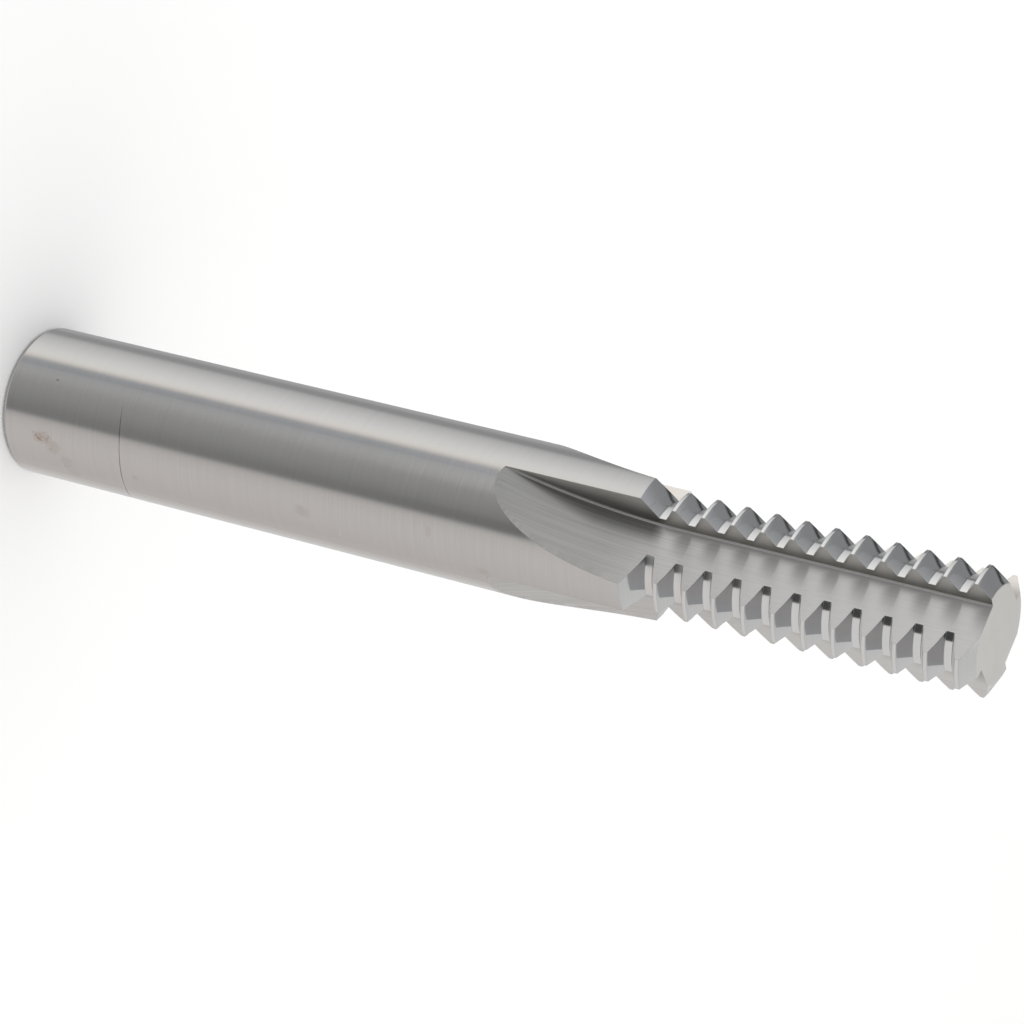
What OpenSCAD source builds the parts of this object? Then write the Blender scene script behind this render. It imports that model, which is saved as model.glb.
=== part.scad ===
// Thread mill: a solid cutter ground from one round bar, with a plain shank, straight flutes and
// rows of relieved thread-form teeth. The tool axis is Z, the shank end is at Z = 0 and the cutting
// end points up. Seen from the shank end, the tool cuts turning clockwise.

/* [Bar] */
// Shank diameter
shank_d = 12.7; // [12:0.1:14]
// Overall length
overall_l = 88.9; // [70:0.1:120]
// Chamfer round the shank end
shank_chamfer = 0.4; // [0.2:0.05:1]

/* [Teeth] */
// Cutter diameter over the tooth crests, at the cutting edges
cutter_d = 11.43; // [11:0.01:11.8]
// Distance from one tooth to the next
pitch = 2.54; // [2.2:0.01:2.7]
// Teeth along each land
tooth_count = 11; // [2:1:13]
// Included angle of the thread form
form_angle = 60; // [55:1:65]
// Width of the flat on each tooth crest
crest_flat = 0.32; // [0.15:0.01:0.4]
// Width of the flat at the bottom of each groove
root_flat = 0.64; // [0.4:0.01:0.8]
// Diameter of the flat end, at the cutting edges
end_d = 8.4; // [8:0.1:10]
// Relief angle of the teeth behind their cutting edges
relief_angle = 3.2; // [1:0.1:5]

/* [Flutes] */
// Number of straight flutes
flute_count = 4; // [2:1:4]
// Distance from the tool axis to the bottom of a flute, along its rake face
web_r = 3.48; // [3.3:0.02:3.9]
// Lean of a flute's back wall, away from square to its rake face
wall_lean = 10; // [5:0.5:14]
// Radius of the wheel that leaves the run-out at the end of each flute
wheel_r = 48; // [30:1:80]
// Length of the run-out that lies under the teeth, from the bottom of the first groove
runout_lap = 2.9; // [0:0.1:8]

/* [Hidden] */
$fn = 96;

shank_r = shank_d / 2;
crest_r = cutter_d / 2;
end_r = end_d / 2;
land_angle = 360 / flute_count;

// Thread form, worked down from the cutting end
flank_slope = tan(form_angle / 2);
flank_run = (pitch - crest_flat - root_flat) / 2;
root_r = crest_r - flank_run / flank_slope;
end_run = (crest_r - end_r) * flank_slope;
last_crest_z = overall_l - end_run - crest_flat;
first_crest_z = last_crest_z - (tooth_count - 1) * pitch;
first_root_z = first_crest_z - flank_run - root_flat;

// The grinding wheels start and stop clear of the bar
clear_r = 2 * shank_r;
over_l = 1;
form_lead = 15;
form_trail = land_angle - 2 * form_lead;

// Round bar, chamfered at the shank end
module bar() {
    rotate_extrude()
        polygon([
            [0, 0],
            [shank_r - shank_chamfer, 0],
            [shank_r, shank_chamfer],
            [shank_r, overall_l],
            [0, overall_l]
        ]);
}

// Half section of what the form wheel takes off: a groove under each tooth, then the end flank
module form_outline() {
    groove = [
        [root_r, -flank_run - root_flat],
        [root_r, -flank_run],
        [crest_r, 0],
        [crest_r, crest_flat]
    ];
    grooves = [
        for (i = [0 : tooth_count - 1], p = groove)
            [p[0], first_crest_z + i * pitch + p[1]]
    ];
    start_z = first_root_z - (clear_r - root_r) * flank_slope;
    stop_z = overall_l + over_l * flank_slope;
    polygon(concat(
        [[clear_r, start_z]],
        grooves,
        [[end_r - over_l, stop_z], [clear_r, stop_z]]
    ));
}

// Form grinding of one land. It turns about a centre off the tool axis, so that the teeth fall
// away behind their cutting edge, and it starts and ends in the flutes on either side.
module form_grind() {
    relief_x = crest_r * (1 - cos(relief_angle));
    relief_y = crest_r * sin(relief_angle);
    translate([relief_x, relief_y, 0])
        rotate(-form_trail)
            rotate_extrude(angle = form_trail + form_lead)
                form_outline();
}

// Path of the flute wheel, seen along its axis: down from the cutting end, then its arc out of the bar
module wheel_path() {
    floor_x = web_r * cos(wall_lean);
    floor_z = first_root_z + runout_lap;
    translate([floor_x, floor_z])
        square([clear_r, overall_l + over_l - floor_z]);
    translate([floor_x + wheel_r, floor_z])
        circle(wheel_r);
}

// One flute: its rake face lies in a plane through the tool axis, its back wall is the wheel's rim
module flute() {
    intersection() {
        rotate(wall_lean)
            rotate([90, 0, 0])
                linear_extrude(2 * clear_r, center = true)
                    wheel_path();
        cube([clear_r, clear_r, overall_l + over_l]);
    }
}

module thread_mill() {
    color("silver")
        difference() {
            bar();
            for (i = [0 : flute_count - 1])
                rotate(i * land_angle) {
                    form_grind();
                    flute();
                }
        }
}

thread_mill();
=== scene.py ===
import math

import bmesh
import bpy
import numpy as np
from mathutils import Matrix, Vector


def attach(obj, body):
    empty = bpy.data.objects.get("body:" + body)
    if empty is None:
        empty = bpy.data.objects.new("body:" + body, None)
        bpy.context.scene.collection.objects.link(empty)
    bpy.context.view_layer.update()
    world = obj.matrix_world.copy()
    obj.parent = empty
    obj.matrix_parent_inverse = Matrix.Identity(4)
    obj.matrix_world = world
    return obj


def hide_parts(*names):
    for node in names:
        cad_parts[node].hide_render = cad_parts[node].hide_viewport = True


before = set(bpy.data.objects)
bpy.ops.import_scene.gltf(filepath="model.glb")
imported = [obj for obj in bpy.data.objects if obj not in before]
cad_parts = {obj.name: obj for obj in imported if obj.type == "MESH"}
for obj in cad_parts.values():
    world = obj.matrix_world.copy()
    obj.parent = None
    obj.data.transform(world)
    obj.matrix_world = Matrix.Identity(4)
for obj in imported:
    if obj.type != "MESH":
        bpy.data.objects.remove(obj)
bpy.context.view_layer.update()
print("frame loaded")

mm = 0.001

# the tool's form, in millimetres and radians
form = {
    # bar
    "shankR": 6.35, "length": 88.9, "chamfer": 0.4,
    # teeth, sized at the cutting edges
    "crestR": 5.715, "endR": 4.2, "pitch": 2.54, "teeth": 11, "crestFlat": 0.32, "rootFlat": 0.64,
    "flankSlope": math.tan(math.radians(30)), "relief": math.radians(3.2),
    # flutes
    "flutes": 4, "webR": 3.48, "lean": math.radians(10), "wheelR": 48.0, "runoutLap": 2.9,
    # broken edges, rounds in the grooves and flute corners, and the end face drawn in inside its edge
    "edge": 0.025, "heelEdge": 0.012, "crestEdge": 0.055, "rootRound": 0.05, "fillet": 0.13, "endDraw": 0.996,
    # grid: columns of a sector, rows of each stretch, and points on a bent corner
    "landCols": 22, "rakeCols": 6, "filletCols": 6, "wallCols": 12, "bendCols": 2,
    "barRows": 14, "runoutRows": 35, "flankRows": 9, "flankSpan": (0.012, 0.975), "toothRows": 4, "bendRows": 2,
    # first uv axis: added to the radius on rake faces, held in flute corners, and between one sector and the next
    "rakeU": 10.0, "cornerU": 8.0, "sectorU": 40.0,
    # where the heel is first looked for, and how often it is settled
    "heelGuess": math.radians(58.0), "settleSteps": 12,
    # outline steeper than this is flank; points closer than this, in metres, are welded
    "steep": 0.8, "weld": 2e-7, "sliver": 1e-7,
}
finishNo = {"shank": 0, "tooth": 1, "rake": 2, "flute": 3, "end": 4, "flank": 5}


# points of each row's outline, bent over a corner: the parabola from a to c that is drawn to k
def bend(a, k, c, n):
    t = (np.arange(n) + 1.0) / (n + 1)
    t = t.reshape((1, n, 1))
    return (1 - t) ** 2 * a[:, None] + 2 * t * (1 - t) * k[:, None] + t ** 2 * c[:, None]


# half outline of the teeth as (z, r): flats and flanks from the first groove to the end, each corner rounded
def toothOutline(g):
    flankRun = (g["pitch"] - g["crestFlat"] - g["rootFlat"]) / 2
    rootR = g["crestR"] - flankRun / g["flankSlope"]
    lastCrest = g["length"] - (g["crestR"] - g["endR"]) * g["flankSlope"] - g["crestFlat"]
    firstCrest = lastCrest - (g["teeth"] - 1) * g["pitch"]
    firstRoot = firstCrest - flankRun - g["rootFlat"]
    start = firstCrest + np.arange(g["teeth"])[:, None] * g["pitch"]
    z = start + np.array([-flankRun - g["rootFlat"], -flankRun, 0.0, g["crestFlat"]])
    r = np.zeros_like(z) + np.array([rootR, rootR, g["crestR"], g["crestR"]])
    corner = np.stack([z.ravel(), r.ravel()], 1)
    before = np.vstack([[firstRoot - g["flankSlope"], rootR + 1.0], corner[:-1]])
    after = np.vstack([corner[1:], [g["length"], g["endR"]]])
    size = np.tile([g["rootRound"], g["rootRound"], g["crestEdge"], g["crestEdge"]], g["teeth"])[:, None]
    unit = lambda v: v / np.linalg.norm(v, axis=1, keepdims=True)
    a, c = corner + size * unit(before - corner), corner + size * unit(after - corner)
    turned = np.concatenate([a[:, None], bend(a, corner, c, g["bendRows"]), c[:, None]], 1)
    steps = np.linspace(0, 1, g["toothRows"] + 2)[1:-1]
    out = np.append(a[1:], [[g["length"] - g["edge"], g["endR"] + g["edge"] / g["flankSlope"]]], 0)
    span = c[:, None] + (out - c)[:, None] * steps[None, :, None]
    isFlat = np.abs(corner[:, 1] - after[:, 1]) < 1e-6                      # flats need no rows between
    rows = [np.vstack([turned[i]] + ([] if isFlat[i] else [span[i]])) for i in range(len(corner))]
    return np.vstack(rows + [out[-1:]]), rootR, firstRoot


# one sector of the tool for a stack of rows: land from heel to edge, rake face, flute corner, back wall.
# A row gives radius q and height z at any angle; the heel is where its circle meets the wall
def sector(g, row, n):
    lean, shankR = g["lean"], g["shankR"]
    floorX = g["webR"] * math.cos(lean)

    # the wall's distance from the axis: flat, then the wheel's arc out to the bar
    def wall(z):
        d = np.clip(g["floorZ"] - z, 0, g["wheelR"] * 0.999)
        return np.minimum(floorX + g["wheelR"] - np.sqrt(g["wheelR"] ** 2 - d ** 2), shankR)

    heel = np.full((n, 1), g["heelGuess"])
    edge = np.zeros((n, 1))
    for _ in range(g["settleSteps"]):                                       # settle both angles with their heights
        q, z = row(heel - math.pi / 2)
        heel = lean + np.arccos(np.clip(wall(z) / q, -1, 1))
        q, z = row(edge)
        edge = np.maximum(0, lean - np.arccos(np.clip(wall(z) / q, -1, 1)))
    heelQ, heelZ = row(heel - math.pi / 2)
    edgeQ, edgeZ = row(edge)

    # land, from the heel of the flute before to the cutting edge
    polar = lambda q, a, z: np.stack([q * np.cos(a), q * np.sin(a), z + 0 * q], -1)
    first = heel - math.pi / 2
    landLen = edgeQ * (edge - first)
    f, h = g["edge"] / landLen, g["heelEdge"] / landLen
    share = h + (1 - f - h) * np.linspace(0, 1, g["landCols"])[None]
    a = first + share * (edge - first)
    q, z = row(a)
    land = polar(q, a, z)
    landU = a * shankR

    # rake face, in to the flute corner; no edge or round takes more than a share of its face
    cornerX = np.minimum(wall(edgeZ) / math.cos(lean), edgeQ)
    rakeLen = edgeQ - cornerX
    cornerY = -np.sqrt(np.maximum(cornerX ** 2 - wall(edgeZ) ** 2, 0))      # along the wall
    heelY = heelQ * np.sin(heel - lean)
    wallLen = np.maximum(heelY - cornerY, 1e-9)
    nip = np.minimum(g["edge"], 0.25 * rakeLen)
    fill = np.minimum(g["fillet"], np.minimum(0.5 * rakeLen, 0.3 * wallLen))
    x = (edgeQ - nip) + np.linspace(0, 1, g["rakeCols"])[None] * (cornerX + fill - edgeQ + nip)
    rake = polar(x, edge + 0 * x, edgeZ)
    rakeU = g["rakeU"] + x

    # back wall, out to the heel
    heelNip = np.minimum(g["heelEdge"], 0.25 * wallLen)
    y = (cornerY + fill) + np.linspace(0, 1, g["wallCols"])[None] * (heelY - heelNip - cornerY - fill)
    z = edgeZ + (y - cornerY) / wallLen * (heelZ - edgeZ)
    w = np.minimum(wall(z), edgeQ)                                          # no wall outside the chamfer
    wallX, wallY = w * math.cos(lean) - y * math.sin(lean), w * math.sin(lean) + y * math.cos(lean)
    back = np.stack([wallX, wallY, z], -1)
    far = y - cornerY                                                       # distance out from the flute corner

    edgeP, cornerP = polar(edgeQ, edge, edgeZ)[:, 0], polar(cornerX, edge, edgeZ)[:, 0]
    heelP = polar(heelQ, heel, heelZ)[:, 0]
    nextLand = np.stack([-land[:, 0, 1], land[:, 0, 0], land[:, 0, 2]], -1)
    k, m = g["bendCols"], g["filletCols"]
    ring = np.concatenate([land, bend(land[:, -1], edgeP, rake[:, 0], k), rake,
                           bend(rake[:, -1], cornerP, back[:, 0], m), back,
                           bend(back[:, -1], heelP, nextLand, k)], 1)
    hold = lambda u, c: np.repeat(u[:, -1:], c, 1)
    side = np.concatenate([landU, hold(landU, k), rakeU, np.full((n, m), g["cornerU"]), far, hold(far, k)], 1)
    # what each strip to the right of a column is: 0 land, 1 rake face, 2 flute corner and wall
    kind = np.repeat([0, 1, 2, 0], [g["landCols"] + k, g["rakeCols"] - 1, m + g["wallCols"], k + 1])
    return ring, side, kind


# the rows of one sector from end to end: bar, run-out, first flank and teeth, each with its finish
def toolGrid(g):
    outline, rootR, firstRoot = toothOutline(g)
    g["floorZ"] = firstRoot + g["runoutLap"]
    slope, shankR = g["flankSlope"], g["shankR"]
    cx = g["crestR"] * (1 - math.cos(g["relief"]))                          # centre of the relief
    cy = g["crestR"] * math.sin(g["relief"])
    apexRise = g["wheelR"] - (shankR - g["webR"] * math.cos(g["lean"]))
    apexZ = g["floorZ"] - math.sqrt(g["wheelR"] ** 2 - apexRise ** 2)

    # radius at angle a of the circle r about the relief's centre
    def reach(a, r):
        c = cx * np.cos(a) + cy * np.sin(a)
        return c + np.sqrt(c * c - cx * cx - cy * cy + r * r)

    # where the first flank leaves the bar: distance from the relief's centre, then height
    def meetR(a):
        return np.hypot(shankR * np.cos(a) - cx, shankR * np.sin(a) - cy)

    def meetZ(a):
        return firstRoot - (meetR(a) - rootR) * slope

    # bar: chamfer with its corners broken, then plain to where the flutes begin
    b, c = g["edge"] * 1.5, g["chamfer"]
    plain = np.linspace(c + b, apexZ, g["barRows"] + 2)[1:-1]
    barZ = np.concatenate([[0.0, b * 0.3, b, c - b, c - 0.2 * b, c + b], plain])
    barQ = np.full(len(barZ), shankR)
    barQ[:6] = [shankR - c - b, shankR - c - 0.1 * b, shankR - c + b, shankR - b, shankR - 0.15 * b, shankR]
    bar = sector(g, lambda a: (barQ[:, None] + 0 * a, barZ[:, None] + 0 * a), len(barZ))

    # run-out: from the flutes' points to the first flank, closer together near the points
    s = np.linspace(0, 1, g["runoutRows"] + 1)[:-1, None] ** 2
    lastZ = lambda a: meetZ(a) - g["edge"]
    runout = sector(g, lambda a: (shankR + 0 * a, apexZ + s * (lastZ(a) - apexZ)), len(s))

    # the first flank at share t of its way down from the bar to the first groove
    def flankRow(t):
        return lambda a: (reach(a, meetR(a) + t * (rootR - meetR(a))),
                          firstRoot - (meetR(a) + t * (rootR - meetR(a)) - rootR) * slope)

    # the edge where the first flank leaves the bar, bent, then the flank
    before = sector(g, lambda a: (shankR + 0 * a, lastZ(a)), 1)
    corner = sector(g, flankRow(np.zeros((1, 1))), 1)
    down = sector(g, flankRow(np.linspace(*g["flankSpan"], g["flankRows"])[:, None]), g["flankRows"])
    bent = bend(before[0][0], corner[0][0], down[0][0], g["bendRows"]).transpose(1, 0, 2)
    turn = (bent, np.repeat(corner[1], g["bendRows"], 0), before[2])

    # teeth
    z, r = outline[:, 0][:, None], outline[:, 1][:, None]
    teeth = sector(g, lambda a: (reach(a, r), z + 0 * a), len(z))

    # the flat end's own corner, before its edge is broken
    last = sector(g, lambda a: (reach(a, np.full((1, 1), g["endR"])), g["length"] + 0 * a), 1)

    parts = [(bar, "shank"), (runout, "shank"), (before, "shank"), (turn, "flank"), (down, "flank"), (teeth, "flank")]
    zones = np.concatenate([np.full(len(p[0]), finishNo[name]) for p, name in parts])
    rise = np.abs(np.diff(outline, axis=0))
    isFlank = rise[:, 1] > g["steep"] * rise[:, 0]                          # the rest are crests and roots
    zones[-len(rise):] = np.where(isFlank, finishNo["flank"], finishNo["tooth"])
    ring = np.concatenate([p[0] for p, name in parts])
    side = np.concatenate([p[1] for p, name in parts])
    print("rows", len(ring), "columns", ring.shape[1] * g["flutes"])
    return ring, side, before[2], zones, last[0]


# closed mesh from the rows: sectors turned into place, quads between rows, flat caps, one uv in millimetres
def buildTool(name, g, mats):
    ring, side, kind, zones, last = toolGrid(g)
    n = g["flutes"]

    # a sector's points turned about the axis into each flute's place, side by side
    def turned(p):
        a = np.arange(n) * 2 * math.pi / n
        x = np.cos(a)[:, None] * p[..., None, :, 0] - np.sin(a)[:, None] * p[..., None, :, 1]
        y = np.sin(a)[:, None] * p[..., None, :, 0] + np.cos(a)[:, None] * p[..., None, :, 1]
        z = np.broadcast_to(p[..., None, :, 2], x.shape)
        return np.stack([x, y, z], -1).reshape(p.shape[0], -1, 3)

    # rows, then the end's edge bent over to its flat
    grid, endRing = turned(ring), turned(last)
    inner = endRing * [g["endDraw"], g["endDraw"], 1.0]
    over = bend(grid[-1], endRing[0], inner[0], g["bendRows"]).transpose(1, 0, 2)
    endRows = g["bendRows"] + 1
    grid = np.concatenate([grid, over, inner])
    rows, cols = grid.shape[:2]
    side = np.tile(np.concatenate([side, np.repeat(side[-1:], endRows, 0)]), (1, n))
    turnNo = np.repeat(np.arange(n), ring.shape[1])
    kind = np.tile(kind, n)
    zones = np.concatenate([zones, np.full(endRows, finishNo["end"])])

    i, j = np.meshgrid(np.arange(rows - 1), np.arange(cols), indexing="ij")
    j2 = (j + 1) % cols
    quads = np.stack([i * cols + j, i * cols + j2, (i + 1) * cols + j2, (i + 1) * cols + j], -1).reshape(-1, 4)
    matIndex = np.where(kind[None] > 0, kind[None] + finishNo["rake"] - 1, zones[1:, None]).astype(np.int32)
    matIndex[-endRows:] = finishNo["end"]
    flat = grid.reshape(-1, 3)
    cap = np.arange((rows - 1) * cols, rows * cols)
    base = np.arange(cols)[::-1]
    mesh = bpy.data.meshes.new(name)
    mesh.from_pydata((flat * mm).tolist(), [], quads.tolist() + [cap.tolist(), base.tolist()])
    allIndex = np.concatenate([matIndex.ravel(), [finishNo["end"], finishNo["end"]]])
    mesh.polygons.foreach_set("material_index", allIndex.astype(np.int32))

    # uv: across the grinding lines by along them; caps take x and y
    along = np.concatenate([[0], np.cumsum(np.linalg.norm(np.diff(grid[:, 4], axis=0), axis=1))])
    u = side + turnNo[None] * g["sectorU"]
    inFlute = kind[j] > 0
    keep = kind[j] != kind[j2]                                              # a strip at a border keeps its own value
    uRight, uRightUp = np.where(keep, u[i, j], u[i, j2]), np.where(keep, u[i + 1, j], u[i + 1, j2])
    vOf = lambda r, c: np.where(inFlute, grid[r, c, 2], along[r])
    corners = np.stack([np.stack([u[i, j], vOf(i, j)], -1), np.stack([uRight, vOf(i, j2)], -1),
                        np.stack([uRightUp, vOf(i + 1, j2)], -1), np.stack([u[i + 1, j], vOf(i + 1, j)], -1)], -2)
    loops = np.concatenate([corners.reshape(-1, 2), flat[cap, :2], flat[base, :2]])
    layer = mesh.uv_layers.new(name="grind")
    layer.data.foreach_set("uv", loops.ravel().astype(np.float32))

    bm = bmesh.new()
    bm.from_mesh(mesh)
    bmesh.ops.remove_doubles(bm, verts=bm.verts, dist=g["weld"])            # closes the flutes' points and the seam
    bmesh.ops.dissolve_degenerate(bm, edges=bm.edges, dist=g["sliver"])
    bm.to_mesh(mesh)
    bm.free()
    for m in mats:
        mesh.materials.append(m)
    mesh.polygons.foreach_set("use_smooth", np.ones(len(mesh.polygons), bool))

    # vertex normals weighed by face area, so that flats stay flat up to their broken edges
    count = len(mesh.polygons)
    normal, area, total = np.zeros(count * 3), np.zeros(count), np.zeros(count, np.int32)
    mesh.polygons.foreach_get("normal", normal)
    mesh.polygons.foreach_get("area", area)
    mesh.polygons.foreach_get("loop_total", total)
    vert = np.zeros(len(mesh.loops), np.int32)
    mesh.loops.foreach_get("vertex_index", vert)
    perFace = normal.reshape(-1, 3) * area[:, None]
    summed = np.zeros((len(mesh.vertices), 3))
    np.add.at(summed, vert, np.repeat(perFace, total, 0))
    summed /= np.maximum(np.linalg.norm(summed, axis=1, keepdims=True), 1e-20)
    mesh.normals_split_custom_set_from_vertices(summed.tolist())

    piece = bpy.data.objects.new(name, mesh)
    bpy.context.scene.collection.objects.link(piece)
    return piece


# a socket that takes part in sums: each operator adds its Math node
class Wire:
    def __init__(self, maker, socket):
        self.maker, self.socket = maker, socket

    def math(self, op, other=None, flip=False):
        a, b = (other, self) if flip else (self, other)
        return self.maker.node("ShaderNodeMath", {"operation": op}, {0: a, 1: b} if b is not None else {0: a})

    def __add__(self, o): return self.math("ADD", o)
    def __radd__(self, o): return self.math("ADD", o, True)
    def __sub__(self, o): return self.math("SUBTRACT", o)
    def __rsub__(self, o): return self.math("SUBTRACT", o, True)
    def __mul__(self, o): return self.math("MULTIPLY", o)
    def __rmul__(self, o): return self.math("MULTIPLY", o, True)
    def __truediv__(self, o): return self.math("DIVIDE", o)
    def __rtruediv__(self, o): return self.math("DIVIDE", o, True)
    def __pow__(self, o): return self.math("POWER", o)
    def least(self, o): return self.math("MINIMUM", o)
    def most(self, o): return self.math("MAXIMUM", o)
    def size(self): return self.math("ABSOLUTE")

    # smooth step from lo to hi
    def ramp(self, lo, hi, outLo=0.0, outHi=1.0):
        return self.maker.node("ShaderNodeMapRange", {"interpolation_type": "SMOOTHSTEP"},
                               {"Value": self, "From Min": lo, "From Max": hi, "To Min": outLo, "To Max": outHi})


# makes the nodes of one tree, which it empties first
class Maker:
    def __init__(self, tree):
        self.tree = tree
        tree.nodes.clear()

    # one node: its type, its settings, then values or wires for its sockets; gives its first or named output
    def node(self, kind, settings=None, inputs=None, out=0):
        made = self.tree.nodes.new(kind)
        for key, value in (settings or {}).items():
            if key == "stops":
                ramp = made.color_ramp                                     # stops run from 0 to 1
                ramp.elements[0].color, ramp.elements[-1].color = (*value[0][1], 1.0), (*value[-1][1], 1.0)
                for at, colour in value[1:-1]:
                    ramp.elements.new(at).color = (*colour, 1.0)
            else:
                setattr(made, key, value)
        for key, value in (inputs or {}).items():
            if isinstance(value, Wire):
                self.tree.links.new(value.socket, made.inputs[key])
            else:
                made.inputs[key].default_value = value
        return Wire(self, made.outputs[out]) if len(made.outputs) else None

    # colour between a and b
    def mix(self, factor, a, b):
        return self.node("ShaderNodeMix", {"data_type": "RGBA"}, {0: factor, 6: a, 7: b}, 2)

    # a vector's x, y and z
    def split(self, vector):
        made = self.node("ShaderNodeSeparateXYZ", None, {"Vector": vector})
        return [Wire(self, s) for s in made.socket.node.outputs]

    # the direction of x and y as an angle in radians, from minus to plus half a turn
    def turn(self, x, y):
        return self.node("ShaderNodeMath", {"operation": "ARCTAN2"}, {0: y, 1: x})

    # where a point is: the uv in millimetres, or the object's own coordinates in metres
    def uv(self):
        return self.node("ShaderNodeUVMap", {"uv_map": "grind"})

    def place(self):
        return self.node("ShaderNodeTexCoord", None, None, "Object")

    # streaks along the second uv axis: noise drawn out that way, in waves per millimetre
    def streaks(self, uv, across, along, detail=2.0, shift=0.0):
        drawn = self.node("ShaderNodeMapping", {"vector_type": "POINT"},
                          {"Vector": uv, "Location": (shift, shift, 0.0), "Scale": (across, along, 1.0)})
        return self.node("ShaderNodeTexNoise", {"noise_dimensions": "2D"},
                         {"Vector": drawn, "Scale": 1.0, "Detail": detail, "Roughness": 0.6}, "Fac")

    # clouds through the metal: even noise, in waves per metre
    def clouds(self, pos, waves, detail, roughness=0.5):
        return self.node("ShaderNodeTexNoise", {"noise_dimensions": "3D"},
                         {"Vector": pos, "Scale": waves, "Detail": detail, "Roughness": roughness}, "Fac")

    # fine relief: the height times the look's depth in metres, as a normal
    def relief(self, look, height):
        return self.node("ShaderNodeBump", None,
                         {"Strength": look["bump"], "Distance": look["depth"], "Height": height}, "Normal")

    # ends a material with this shader on its surface
    def close(self, shader):
        self.node("ShaderNodeOutputMaterial", None, {"Surface": shader})

    # ends a material as bare metal of this tone and roughness
    def closeMetal(self, tone, rough, more):
        sockets = {"Base Color": tone, "Metallic": 1.0, "Roughness": rough, **more}
        self.close(self.node("ShaderNodeBsdfPrincipled", None, sockets))


# a material with nothing in it yet, and the maker of its nodes
def newMaterial(name):
    mat = bpy.data.materials.new(name)
    mat.use_nodes = True
    return mat, Maker(mat.node_tree)


# angles in degrees round the shank, heights and widths in millimetres
shankLook = {
    "colour": ((0.53, 0.525, 0.52, 1), (0.67, 0.665, 0.66, 1)), "contrast": 4.0,
    "rough": 0.17, "roughSwing": 0.08, "stainRough": 0.2, "bump": 0.03, "depth": 0.00002,
    "drawn": 0.45, "drawnTurn": 0.25,
    # grinding rings: waves round and along, detail, shift
    "fineRings": (0.10, 9.0), "broadRings": (0.03, 1.6, 3.0, 7.0),
    # clouds: waves, detail, roughness
    "cloud": (260.0, 4.0, 0.6), "gap": (900.0, 5.0, 0.7), "tear": (1500.0, 6.0, 0.75), "grit": (4200.0, 2.0),
    # hairline: height, half width, where it is highest, how it drops to each side, where it fades in and out
    "hair": {"z": 12.25, "width": 0.035, "top": 62.0, "spread": 40.0, "drop": -0.45,
             "start": (22.0, 40.0), "end": (135.0, 108.0), "share": 0.85},
    # stains: angle, height, half width round, half height, strength, share of brown grains
    "stains": [(65, 4.2, 6.0, 1.1, 0.55, 1.0), (72, 5.3, 7.0, 0.9, 0.30, 0.35),
               (84, 6.5, 9.0, 0.8, 0.18, 0.1), (93, 6.9, 6.0, 0.7, 0.15, 0.0),
               (72, 30.3, 5.5, 0.9, 0.30, 0.0), (81, 13.6, 3.0, 0.4, 0.24, 0.1),
               (86, 47.2, 4.5, 0.7, 0.30, 0.0), (62, 42.4, 5.0, 0.4, 0.25, 0.0)],
    "stainColour": (0.42, 0.31, 0.255, 1), "grainColour": (0.30, 0.175, 0.10, 1), "grainShare": 0.8,
    "speck": (18, 4.8, 1.3, 0.24), "speckShare": 0.28, "darkColour": (0.06, 0.05, 0.045, 1),
    "scratch": (84, 33.8, 4.0, 0.05), "scratchShare": 0.4, "scratchColour": (0.85, 0.84, 0.83, 1),
    # how far the noise tears the outline of each
    "torn": {"stain": 3.2, "speck": 2.0, "scratch": 1.5},
}


# shank: rings of drawn-out noise give tone, roughness and relief; stains, hairline, speck and scratch lie over them
def shankMaterial(look):
    mat, mk = newMaterial("shank_ground")
    uv, pos = mk.uv(), mk.place()
    x, y, z = mk.split(pos)
    angle = mk.turn(x, y) * (180 / math.pi)
    high = z * (1 / mm)
    fine, broad = mk.streaks(uv, *look["fineRings"]), mk.streaks(uv, *look["broadRings"])
    cloud, gap, tear, grit = (mk.clouds(pos, *look[k]) for k in ("cloud", "gap", "tear", "grit"))
    spread = lambda a, h, halfA, halfH: ((angle - a) / halfA) ** 2.0 + ((high - h) / halfH) ** 2.0
    torn = {k: (tear - 0.5) * v for k, v in look["torn"].items()}

    stain = grains = None
    for a, h, halfA, halfH, strength, brown in look["stains"]:              # soft ellipses, torn by the noise
        near = (spread(a, h, halfA, halfH) + torn["stain"]).ramp(1.3, -0.7)
        stain = near * strength if stain is None else stain.most(near * strength)
        if brown:
            some = near * grit.ramp(0.52, 0.66) * brown
            grains = some if grains is None else grains.most(some)
    speck = (spread(*look["speck"]) + torn["speck"]).ramp(1.0, 0.3)
    scratch = (spread(*look["scratch"]) + torn["scratch"]).ramp(1.0, 0.0)

    k = look["hair"]
    sway = (cloud - 0.5) * 0.14
    tilt = ((angle - k["top"]) / k["spread"]) ** 2.0 * k["drop"]
    ring = (high - k["z"] - tilt - sway).size().ramp(k["width"] * 1.6, k["width"] * 0.3)
    hair = ring * (angle.ramp(*k["start"]) * angle.ramp(*k["end"])) * gap.ramp(0.3, 0.6, 0.45, 1.0)

    shade = (fine - 0.5) * 0.10 + (broad - 0.5) * 0.05 + (cloud - 0.5) * 0.05
    tone = mk.mix(0.5 + shade * look["contrast"], *look["colour"])
    tone = mk.mix(stain, tone, look["stainColour"])
    tone = mk.mix(grains * look["grainShare"], tone, look["grainColour"])
    tone = mk.mix((hair * k["share"]).most(speck * look["speckShare"]), tone, look["darkColour"])
    tone = mk.mix(scratch * look["scratchShare"], tone, look["scratchColour"])
    rough = look["rough"] + (fine - 0.5) * look["roughSwing"] + (cloud - 0.5) * 0.05 + stain * look["stainRough"]
    bump = mk.relief(look, fine * 0.7 + broad * 0.3 - hair * 2.0)
    mk.closeMetal(tone, rough, {"Normal": bump, "Anisotropic": look["drawn"],
                                "Anisotropic Rotation": look["drawnTurn"]})
    return mat


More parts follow.
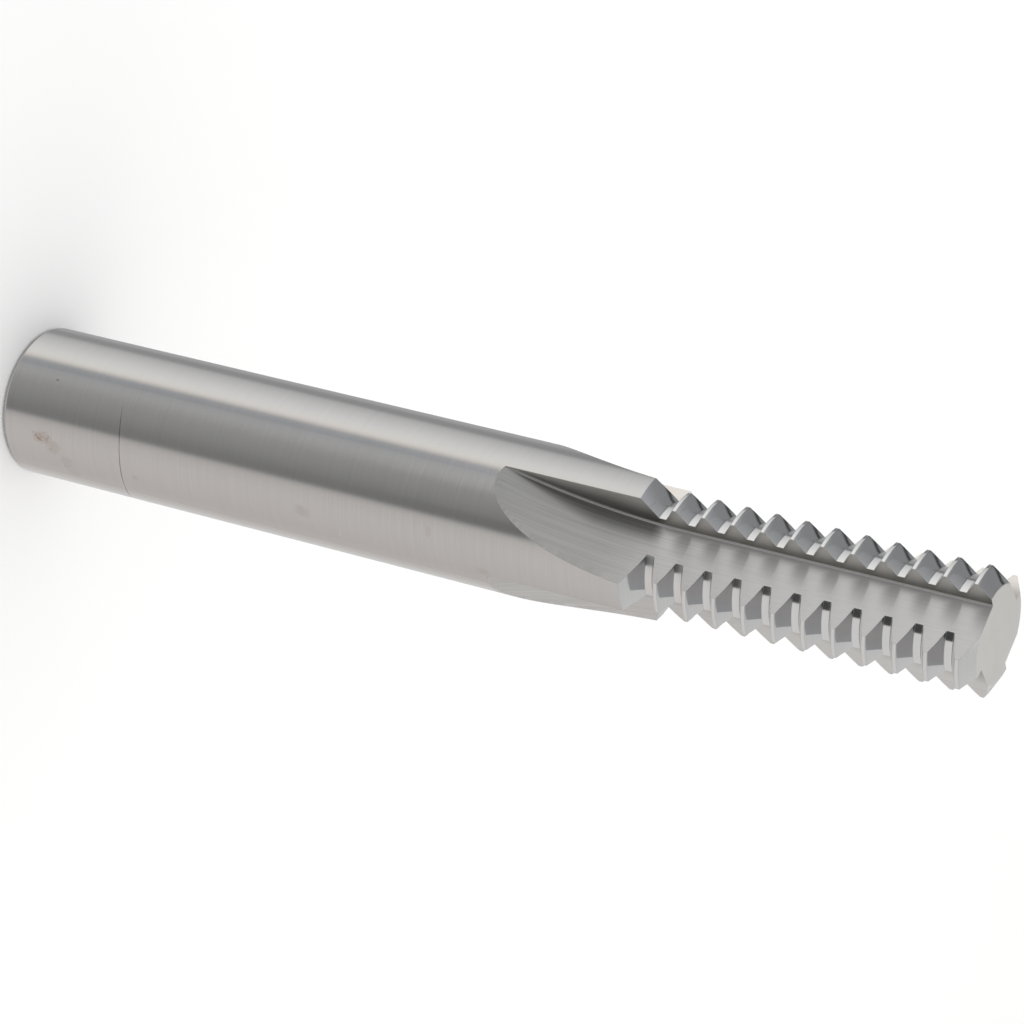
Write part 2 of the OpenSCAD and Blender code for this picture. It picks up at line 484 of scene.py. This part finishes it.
# wheel lines of the flutes: waves across and along, detail, shift
wheelLines = {"fine": (9.0, 0.10, 2.0), "mid": (3.2, 0.05, 2.0, 3.0), "broad": (1.1, 0.02, 1.0, 11.0),
              "cloud": (300.0, 3.0)}
fluteLook = {
    "rough": 0.39, "roughSwing": 0.14, "bump": 0.08, "depth": 0.00003, "drawn": 0.97,
    "dark": (0.64, 0.637, 0.63, 1), "light": (0.84, 0.837, 0.83, 1), "contrast": 2.8,
    # colour of the painted shade beside the flute corner and of the teeth's painted reflection in the wall
    "corner": (0.16, 0.158, 0.155, 1),
    # painted light: the wall's colour lightens towards the cutting end: its tone there, between which heights, and by
    # what share
    "bright": (0.93, 0.927, 0.92, 1), "brighten": (57.0, 74.0), "brightShare": 0.5,
    # painted shade beside the corner: it widens from the flute's point to the first groove, then goes on as bands by
    # the teeth, a painted reflection of the teeth in the wall
    "paintedShade": {"point": 47.3, "widen": 0.21, "narrowest": 0.02, "widest": 1.75, "to": 61.0,
             "groove": 61.35, "bandIn": (0.28, 0.70), "bandOut": (1.0, 0.90), "under": 3.0, "share": 0.40,
             "near": 0.9, "nearShare": 0.55, "line": 0.34},
}
rakeLook = {
    "rough": 0.22, "roughSwing": 0.10, "bump": 0.03, "depth": 0.00003, "drawn": 0.0,
    "dark": (0.75, 0.727, 0.696, 1), "light": (0.87, 0.845, 0.813, 1), "contrast": 1.6,
    # painted shade: darker from the first to the second, as the uv gives them, towards the flute corner
    "corner": (0.44, 0.423, 0.40, 1), "edge": (15.4, 13.6),
}


# painted shade on a flute's wall: the most of the painted shade beside the corner, the teeth's painted reflection as
# bands at the tooth pitch, a painted shade strip near the corner, and a painted shade line on the round in the corner
# itself
def wallPaintedShade(k, u, z, lines):
    width = ((z - k["point"]) * k["widen"]).most(k["narrowest"]).least(k["widest"])
    beside = (u / width).ramp(1.25, 0.25) * z.ramp(k["to"] + 0.9, k["to"] - 0.7) * (1.15 - lines * 0.5)
    beat = ((z - k["groove"]) / form["pitch"]).math("FRACT")
    teeth = beat.ramp(*k["bandIn"]) * beat.ramp(*k["bandOut"])
    teeth = teeth * u.ramp(k["under"], k["under"] * 0.12) * z.ramp(k["to"] - 0.2, k["to"] + 1.0)
    near = u.ramp(k["near"], 0.0) * z.ramp(k["to"] - 0.4, k["to"] + 0.4) * k["nearShare"]
    line = u.ramp(form["cornerU"] - 1.0, form["cornerU"]) * k["line"]
    return beside.most(teeth * k["share"]).most(near).most(line)


# flute walls and rake faces: lines of drawn-out noise give tone, roughness and relief; painted shade lies over them,
# and the walls take painted light towards the cutting end
def fluteMaterial(name, look):
    mat, mk = newMaterial(name)
    uv, pos = mk.uv(), mk.place()
    fine, mid, broad = (mk.streaks(uv, *wheelLines[k]) for k in ("fine", "mid", "broad"))
    cloud = mk.clouds(pos, *wheelLines["cloud"])
    lines = fine * 0.5 + mid * 0.35 + broad * 0.15
    tone = mk.mix((lines - 0.5) * look["contrast"] + 0.5 + (cloud - 0.5) * 0.3, look["dark"], look["light"])
    u, z, _ = mk.split(uv)
    u = u.math("MODULO", form["sectorU"])
    if "edge" in look:                                                      # rake face: painted shade, darker from the cutting edge in to the flute corner
        paintedShade = u.ramp(*look["edge"])
    else:
        paintedShade = wallPaintedShade(look["paintedShade"], u, z, lines)
        # painted light: the wall's colour lightens towards the cutting end
        tone = mk.mix(z.ramp(*look["brighten"]) * look["brightShare"], tone, look["bright"])
    # painted shade: the tone goes over to the corner colour where the painted shade mask is, on walls and rake faces
    tone = mk.mix(paintedShade, tone, look["corner"])
    rough = look["rough"] + (lines - 0.5) * look["roughSwing"]
    mk.closeMetal(tone, rough, {"Normal": mk.relief(look, lines), "Anisotropic": look["drawn"]})
    return mat


# form wheel lines round the teeth, and clouds over them
toothLines = {"fine": (0.12, 12.0), "cloud": (420.0, 4.0), "cloudRough": 0.04}
toothLook = {"rough": 0.09, "roughSwing": 0.05, "dark": (0.68, 0.68, 0.682, 1), "light": (0.78, 0.78, 0.78, 1)}
# flanks: a darker, bluer copy of the teeth's tone, painted shade
flankPaintedShadeLook = {"rough": 0.10, "roughSwing": 0.05, "dark": (0.512, 0.518, 0.528, 1), "light": (0.61, 0.617, 0.626, 1)}


# teeth: six parts of lines to four of clouds give the tone, and both move the roughness
def toothMaterial(name, look):
    mat, mk = newMaterial(name)
    uv, pos = mk.uv(), mk.place()
    fine, cloud = mk.streaks(uv, *toothLines["fine"]), mk.clouds(pos, *toothLines["cloud"])
    tone = mk.mix(fine * 0.6 + cloud * 0.4, look["dark"], look["light"])
    rough = look["rough"] + (fine - 0.5) * look["roughSwing"] + (cloud - 0.5) * toothLines["cloudRough"]
    mk.closeMetal(tone, rough, {})
    return mat


endLook = {"rough": 0.42, "roughSwing": 0.2, "bump": 0.08, "depth": 0.00002,
           "dark": (0.59, 0.578, 0.56, 1), "light": (0.78, 0.767, 0.75, 1),
           "grain": (5200.0, 3.0, 0.7), "cloud": (500.0, 4.0)}


# end faces: six parts of fine grain to four of clouds give the tone, and the grain moves roughness and relief
def endMaterial(look):
    mat, mk = newMaterial("end_ground")
    pos = mk.place()
    grain, cloud = mk.clouds(pos, *look["grain"]), mk.clouds(pos, *look["cloud"])
    tone = mk.mix(grain * 0.6 + cloud * 0.4, look["dark"], look["light"])
    rough = look["rough"] + (grain - 0.5) * look["roughSwing"]
    mk.closeMetal(tone, rough, {"Normal": mk.relief(look, grain)})
    return mat


# in the order of finishNo
mats = [shankMaterial(shankLook), toothMaterial("tooth_ground", toothLook), fluteMaterial("rake_ground", rakeLook),
        fluteMaterial("flute_ground", fluteLook), endMaterial(endLook), toothMaterial("flank_ground_painted_shade", flankPaintedShadeLook)]
print("materials made")
tool = buildTool("thread_mill_ground", form, mats)
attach(tool, "root")
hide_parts("thread_mill")
print("tool made:", len(tool.data.polygons), "faces")

# pale floor and backdrop, one soft box overhead, and a room of plain tones that the metal shows
stage = {
    "floorSize": 8.0, "floorColour": (0.97, 0.97, 0.97, 1), "floorRough": 0.9,
    "backdropHeight": 4.0, "backdropSides": 64, "backdropIn": 0.98,
    "box": {"place": (0.0, 0.0, 1.0), "size": 1.5, "bright": 1.34},
    # room tones by azimuth round the tool, in degrees: below the horizon, above it, well above it
    "low": [(-180, (0.76, 0.735, 0.715)), (-165, (0.76, 0.75, 0.74)), (-155, (0.68, 0.68, 0.675)),
            (-145, (0.56, 0.56, 0.56)), (-135, (0.46, 0.46, 0.46)), (-112, (0.46, 0.46, 0.465)),
            (-106, (0.38, 0.38, 0.385)), (-92, (0.38, 0.38, 0.385)), (-86, (0.62, 0.62, 0.62)),
            (-70, (0.79, 0.79, 0.79)), (-52, (0.96, 0.96, 0.95)), (-40, (1.06, 1.04, 1.01)),
            (-34, (1.06, 1.02, 0.96)), (-29, (0.80, 0.765, 0.72)), (-24.5, (0.40, 0.42, 0.45)),
            (-17, (0.42, 0.43, 0.45)), (-6, (0.53, 0.53, 0.53)), (10, (0.43, 0.43, 0.425)),
            (32, (0.36, 0.36, 0.355)), (48, (0.295, 0.295, 0.29)), (61.5, (0.27, 0.27, 0.265)),
            (65.5, (0.58, 0.565, 0.55)), (73, (0.69, 0.665, 0.645)), (90, (0.755, 0.72, 0.695)),
            (110, (0.745, 0.71, 0.685)), (145, (0.685, 0.648, 0.625)), (168, (0.69, 0.652, 0.63)),
            (180, (0.76, 0.735, 0.715))],
    "mid": [(-180, (0.93, 0.92, 0.91)), (-150, (0.88, 0.87, 0.86)), (-130, (0.60, 0.60, 0.60)),
            (-122, (0.37, 0.37, 0.375)), (-104, (0.35, 0.35, 0.355)), (-66, (0.42, 0.42, 0.425)),
            (-40, (0.50, 0.50, 0.50)), (-22, (0.45, 0.45, 0.455)), (10, (0.42, 0.42, 0.42)),
            (45, (0.30, 0.30, 0.30)), (64, (0.30, 0.30, 0.295)), (68, (0.60, 0.585, 0.57)),
            (75, (0.66, 0.645, 0.63)), (110, (0.66, 0.645, 0.63)), (140, (0.68, 0.665, 0.65)),
            (160, (0.80, 0.79, 0.78)), (180, (0.93, 0.92, 0.91))],
    "high": [(-180, (0.93, 0.915, 0.90)), (-148, (0.88, 0.87, 0.86)), (-125, (0.55, 0.55, 0.55)),
             (-110, (0.35, 0.35, 0.355)), (-102, (0.36, 0.36, 0.365)), (-97, (0.44, 0.445, 0.455)),
             (-92, (0.58, 0.585, 0.60)), (-75, (0.56, 0.56, 0.57)), (-40, (0.3, 0.3, 0.3)),
             (0, (0.2, 0.2, 0.2)), (40, (0.2, 0.2, 0.2)), (80, (0.45, 0.45, 0.44)),
             (120, (0.66, 0.65, 0.64)), (140, (0.75, 0.735, 0.72)), (168, (0.85, 0.835, 0.82)),
             (180, (0.93, 0.915, 0.90))],
    "under": (0.45, 0.445, 0.44, 1), "underShare": 0.7,
    # heights of a direction, from -1 to 1, between which one set of tones goes over to the next
    "lowToMid": (-0.10, 0.02), "midToHigh": (0.50, 0.62), "toUnder": (-0.62, -0.76),
    # cards, dark and light, by azimuth and by height of their direction
    "cards": [{"from": -93, "to": -83, "low": -0.408, "high": -0.16, "soft": 0.006, "tone": (0.24, 0.24, 0.245, 1)},
              {"from": -108, "to": -62, "low": 0.03, "high": 0.42, "soft": 0.007, "tone": (0.08, 0.08, 0.08, 1)},
              {"from": -126, "to": -106, "low": 0.42, "high": 0.49, "soft": 0.007, "tone": (0.06, 0.06, 0.06, 1)},
              {"from": 67, "to": 138, "low": -0.408, "high": -0.05, "soft": 0.004, "tone": (0.76, 0.755, 0.745, 1)},
              {"from": 48, "to": 66, "low": -0.412, "high": 0.62, "soft": 0.004, "tone": (0.06, 0.06, 0.06, 1)},
              {"from": -38, "to": 12, "low": -0.408, "high": -0.27, "soft": 0.01, "tone": (0.95, 0.94, 0.93, 1)}],
    "cardSoft": 0.012,
}


# a stage piece from its points and faces, with its material
def stagePiece(name, points, faces, mat):
    mesh = bpy.data.meshes.new(name)
    mesh.from_pydata(points, [], faces)
    mesh.materials.append(mat)
    piece = bpy.data.objects.new(name, mesh)
    bpy.context.scene.collection.objects.link(piece)
    return piece


# floor: a matt square under the tool; backdrop: a white ring of wall round it, for the camera alone
def makeSurround(s):
    h = s["floorSize"] / 2
    paper, mk = newMaterial("floor_paper")
    mk.close(mk.node("ShaderNodeBsdfPrincipled", None, {"Base Color": s["floorColour"], "Roughness": s["floorRough"],
                                                        "Specular IOR Level": 0.0}))
    floor = stagePiece("floor", [(-h, -h, 0), (h, -h, 0), (h, h, 0), (-h, h, 0)], [(0, 1, 2, 3)], paper)
    floor.visible_glossy = False                                            # the metal shows the room instead

    k = s["backdropSides"]
    t = np.arange(k) * 2 * math.pi / k
    foot = np.stack([np.cos(t), np.sin(t), 0 * t], -1) * h * s["backdropIn"]
    points = np.vstack([foot, foot + [0, 0, s["backdropHeight"]]]).tolist()
    white, mk = newMaterial("backdrop_paper")
    mk.close(mk.node("ShaderNodeEmission", None, {"Color": (1, 1, 1, 1), "Strength": 1.0}))
    backdrop = stagePiece("backdrop", points, [(i, (i + 1) % k, k + (i + 1) % k, k + i) for i in range(k)], white)
    backdrop.visible_glossy = backdrop.visible_diffuse = backdrop.visible_shadow = False


# soft box: a square lamp facing down, its energy the brightness of its face times pi times its area
def makeLamp(box):
    lamp = bpy.data.lights.new("soft_box", "AREA")
    lamp.shape, lamp.size = "SQUARE", box["size"]
    lamp.energy = box["bright"] * math.pi * box["size"] ** 2
    lampObject = bpy.data.objects.new("soft_box", lamp)
    lampObject.location = box["place"]
    lampObject.visible_glossy = False
    bpy.context.scene.collection.objects.link(lampObject)


# room: tone by azimuth from three sets of tones, blended by the height of the direction, with the cards over them
def makeRoom(s):
    world = bpy.data.worlds.new("room")
    bpy.context.scene.world = world
    world.use_nodes = True
    mk = Maker(world.node_tree)
    x, y, z = mk.split(mk.node("ShaderNodeTexCoord", None, None, "Generated"))
    share = lambda degrees: degrees / 360 + 0.5                             # azimuth as a share of the turn
    turn = mk.turn(x, y) / (2 * math.pi) + 0.5
    tones = lambda stops: mk.node("ShaderNodeValToRGB", {"stops": [(share(a), c) for a, c in stops]},
                                  {"Fac": turn}, "Color")
    tone = mk.mix(z.ramp(*s["lowToMid"]), tones(s["low"]), tones(s["mid"]))
    tone = mk.mix(z.ramp(*s["midToHigh"]), tone, tones(s["high"]))
    within = lambda v, lo, hi, soft: v.ramp(lo - soft, lo + soft) * v.ramp(hi + soft, hi - soft)
    for c in s["cards"]:
        inCard = within(turn, share(c["from"]), share(c["to"]), c["soft"])
        inCard = inCard * within(z, c["low"], c["high"], s["cardSoft"])
        tone = mk.mix(inCard, tone, c["tone"])
    tone = mk.mix(z.ramp(*s["toUnder"]) * s["underShare"], tone, s["under"])
    glow = mk.node("ShaderNodeBackground", None, {"Color": tone, "Strength": 1.0})
    mk.node("ShaderNodeOutputWorld", None, {"Surface": glow})


makeSurround(stage)
makeLamp(stage["box"])
makeRoom(stage)
print("stage made")

camera = {"place": (0.2171084, 0.1498245, 0.1815602), "aim": (0.000108, -0.000157, 0.046411), "roll": 103.853,
          "lens": 129.4, "sensor": 36.0, "clip": (0.01, 50.0)}


# camera: turned from its place to its aim, then rolled about its own line of sight
def makeCamera(c):
    data = bpy.data.cameras.new("photo_view")
    data.lens, data.sensor_width = c["lens"], c["sensor"]
    data.clip_start, data.clip_end = c["clip"]
    cam = bpy.data.objects.new("photo_view", data)
    look = (Vector(c["aim"]) - Vector(c["place"])).to_track_quat("-Z", "Y").to_matrix().to_4x4()
    cam.matrix_world = Matrix.Translation(c["place"]) @ look @ Matrix.Rotation(math.radians(c["roll"]), 4, "Z")
    bpy.context.scene.collection.objects.link(cam)
    bpy.context.scene.camera = cam


makeCamera(camera)
bpy.context.scene.view_settings.view_transform = "Standard"
bpy.context.view_layer.update()
print("scene ready")
